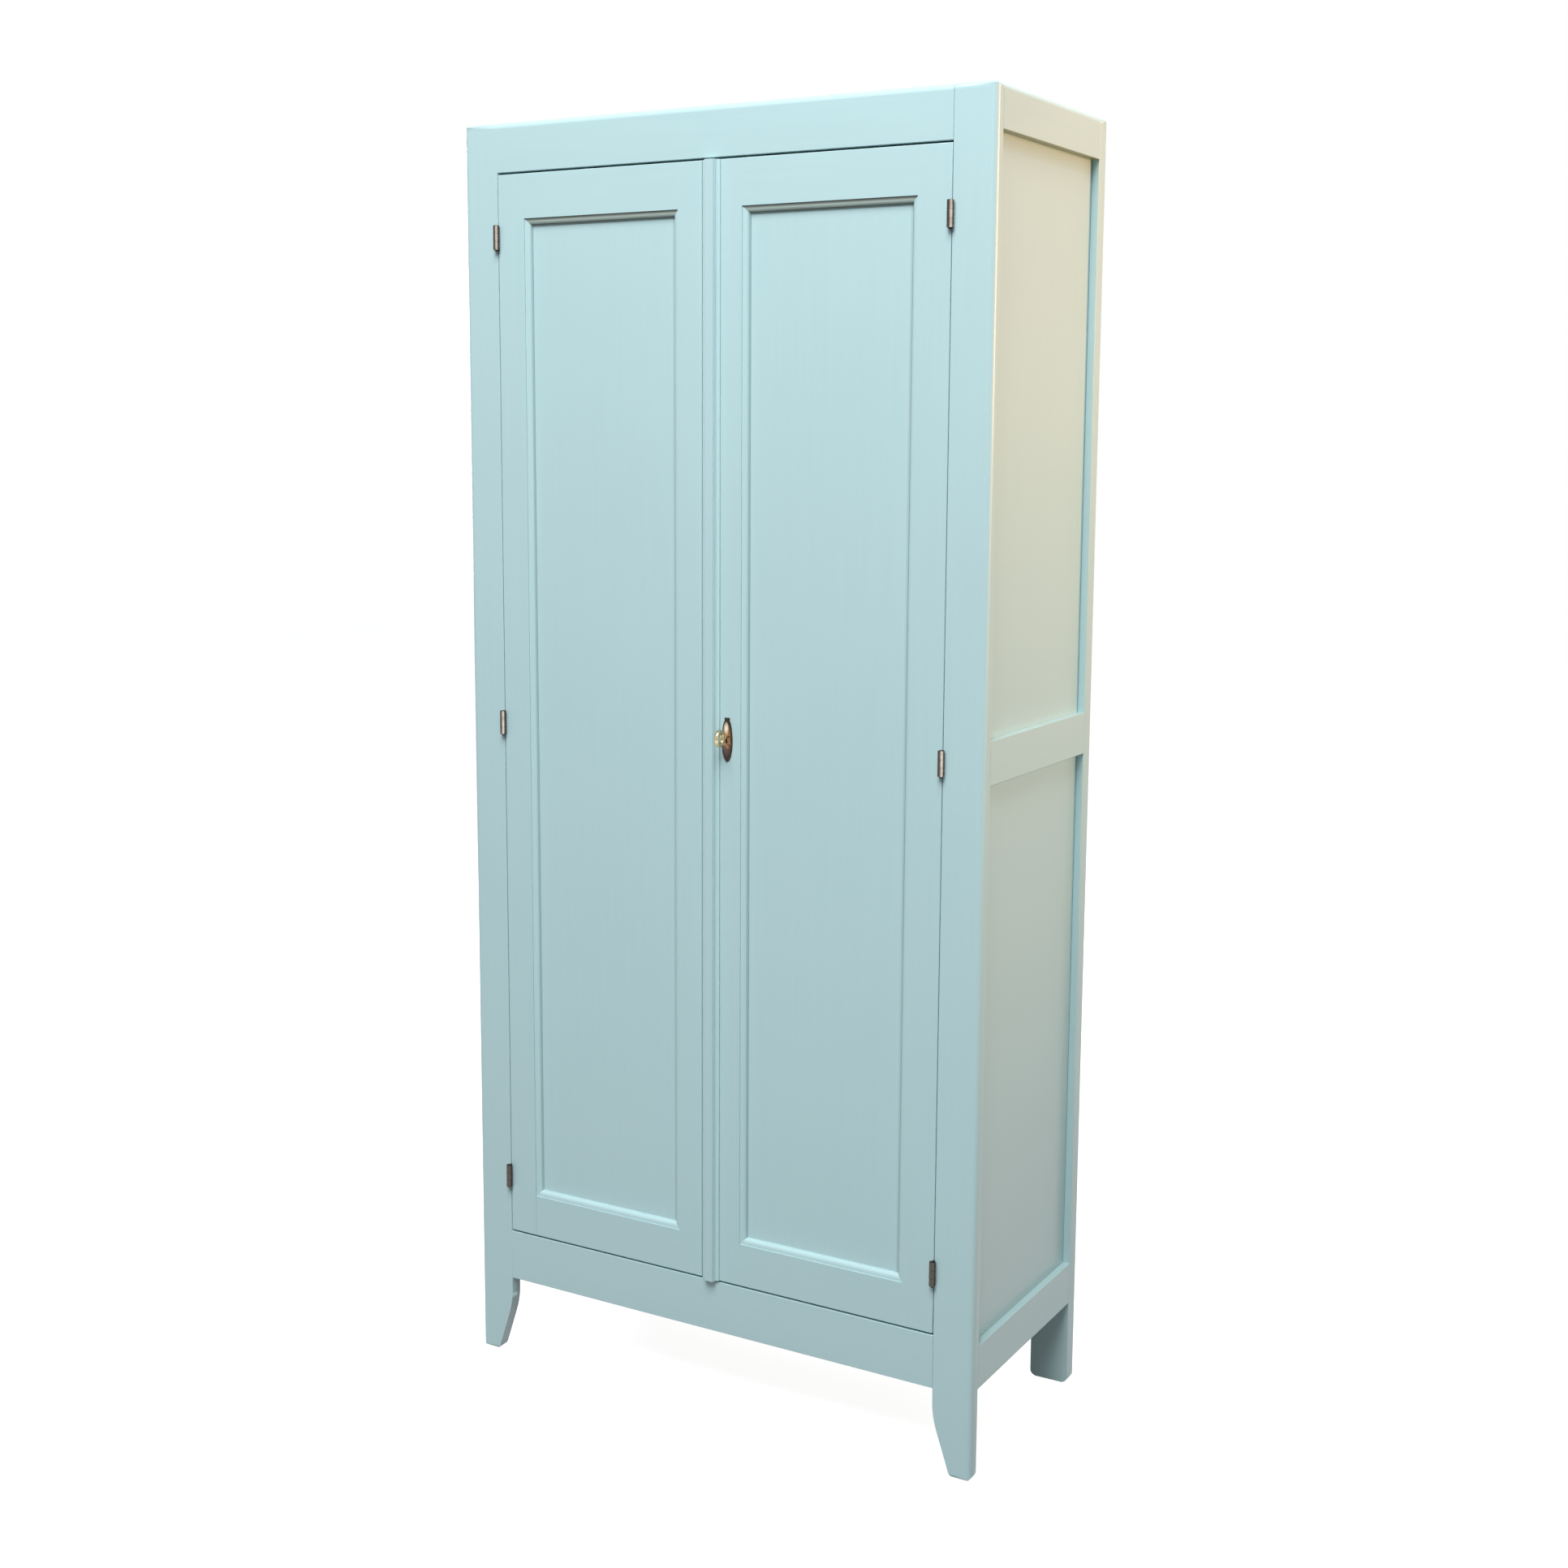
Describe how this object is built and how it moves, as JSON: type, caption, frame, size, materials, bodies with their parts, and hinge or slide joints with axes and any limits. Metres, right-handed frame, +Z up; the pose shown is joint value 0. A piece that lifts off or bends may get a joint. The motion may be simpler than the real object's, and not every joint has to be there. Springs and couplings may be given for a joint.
{
  "type": "two-door cupboard",
  "caption": "Painted wooden cupboard with solid framed doors on barrel hinges, a meeting strip, a key lock, shelves on cleats, panelled sides and tapered front legs.",
  "frame": {"origin": "on the floor, under the middle of the carcass", "axes": "+Z up, +X to the right seen from the front, +Y towards the back; the doors face -Y"},
  "size_m": [0.86, 0.4124, 1.9],
  "materials": {
    "blue_paint": "satin paint",
    "bare_wood": "bare, sanded",
    "hinge_steel": "dark",
    "lock_steel": "dark",
    "old_brass": "tarnished",
    "bright_brass": "polished by use"
  },
  "bodies": {
    "carcass": {"front_left_post": "blue_paint", "front_right_post": "blue_paint", "rear_left_post": "blue_paint", "rear_right_post": "blue_paint", "front_top_rail": "blue_paint", "front_bottom_rail": "blue_paint", "back_top_rail": "blue_paint", "back_bottom_rail": "blue_paint", "top_panel": "blue_paint", "left_side_top_rail": "blue_paint", "left_side_middle_rail": "blue_paint", "left_side_bottom_rail": "blue_paint", "right_side_top_rail": "blue_paint", "right_side_middle_rail": "blue_paint", "right_side_bottom_rail": "blue_paint", "left_side_upper_panel": "blue_paint", "left_side_lower_panel": "blue_paint", "right_side_upper_panel": "blue_paint", "right_side_lower_panel": "blue_paint", "back_panel": "bare_wood", "floor_panel": "bare_wood", "lower_shelf": "bare_wood", "middle_shelf": "bare_wood", "upper_shelf": "bare_wood", "left_lower_cleat": "bare_wood", "left_middle_cleat": "bare_wood", "left_upper_cleat": "bare_wood", "right_lower_cleat": "bare_wood", "right_middle_cleat": "bare_wood", "right_upper_cleat": "bare_wood", "left_top_hinge_post_leaf": "hinge_steel", "left_middle_hinge_post_leaf": "hinge_steel", "left_bottom_hinge_post_leaf": "hinge_steel", "right_top_hinge_post_leaf": "hinge_steel", "right_middle_hinge_post_leaf": "hinge_steel", "right_bottom_hinge_post_leaf": "hinge_steel"},
    "left_door": {"left_door_hinge_stile": "blue_paint", "left_door_meeting_stile": "blue_paint", "left_door_top_rail": "blue_paint", "left_door_bottom_rail": "blue_paint", "left_door_panel": "blue_paint", "left_top_hinge_door_leaf": "hinge_steel", "left_middle_hinge_door_leaf": "hinge_steel", "left_bottom_hinge_door_leaf": "hinge_steel", "lock_keeper": "lock_steel", "left_door_bolt_guide": "lock_steel"},
    "right_door": {"right_door_hinge_stile": "blue_paint", "right_door_meeting_stile": "blue_paint", "right_door_top_rail": "blue_paint", "right_door_bottom_rail": "blue_paint", "right_door_panel": "blue_paint", "right_top_hinge_door_leaf": "hinge_steel", "right_middle_hinge_door_leaf": "hinge_steel", "right_bottom_hinge_door_leaf": "hinge_steel", "meeting_strip": "blue_paint", "escutcheon": "old_brass", "lock_case": "lock_steel"},
    "key": {"key": "bright_brass"},
    "lock_bolt": {"lock_bolt": "lock_steel"},
    "left_bolt": {"left_door_bolt": "lock_steel"}
  },
  "joints": [
    {"name": "left_door_hinge", "type": "hinge", "parent": "carcass", "child": "left_door", "pos_m": [-0.3685, -0.1949, 1.0165], "axis": [0, 0, -1], "range_deg": [0, 170]},
    {"name": "right_door_hinge", "type": "hinge", "parent": "carcass", "child": "right_door", "pos_m": [0.3685, -0.1949, 1.0165], "axis": [0, 0, 1], "range_deg": [0, 170]},
    {"name": "key_turn", "type": "hinge", "parent": "right_door", "child": "key", "pos_m": [0.029, -0.19, 1.025], "axis": [0, -1, 0], "range_deg": [0, 360]},
    {"name": "lock_bolt_slide", "type": "slide", "parent": "right_door", "child": "lock_bolt", "axis": [-1, 0, 0], "range_m": [0, 0.014]},
    {"name": "left_bolt_slide", "type": "slide", "parent": "left_door", "child": "left_bolt", "axis": [0, 0, 1], "range_m": [0, 0.02]}
  ],
  "couplings": [
    {"joint": "key_turn", "follows": "lock_bolt_slide", "rad_per_m": 448.7}
  ]
}
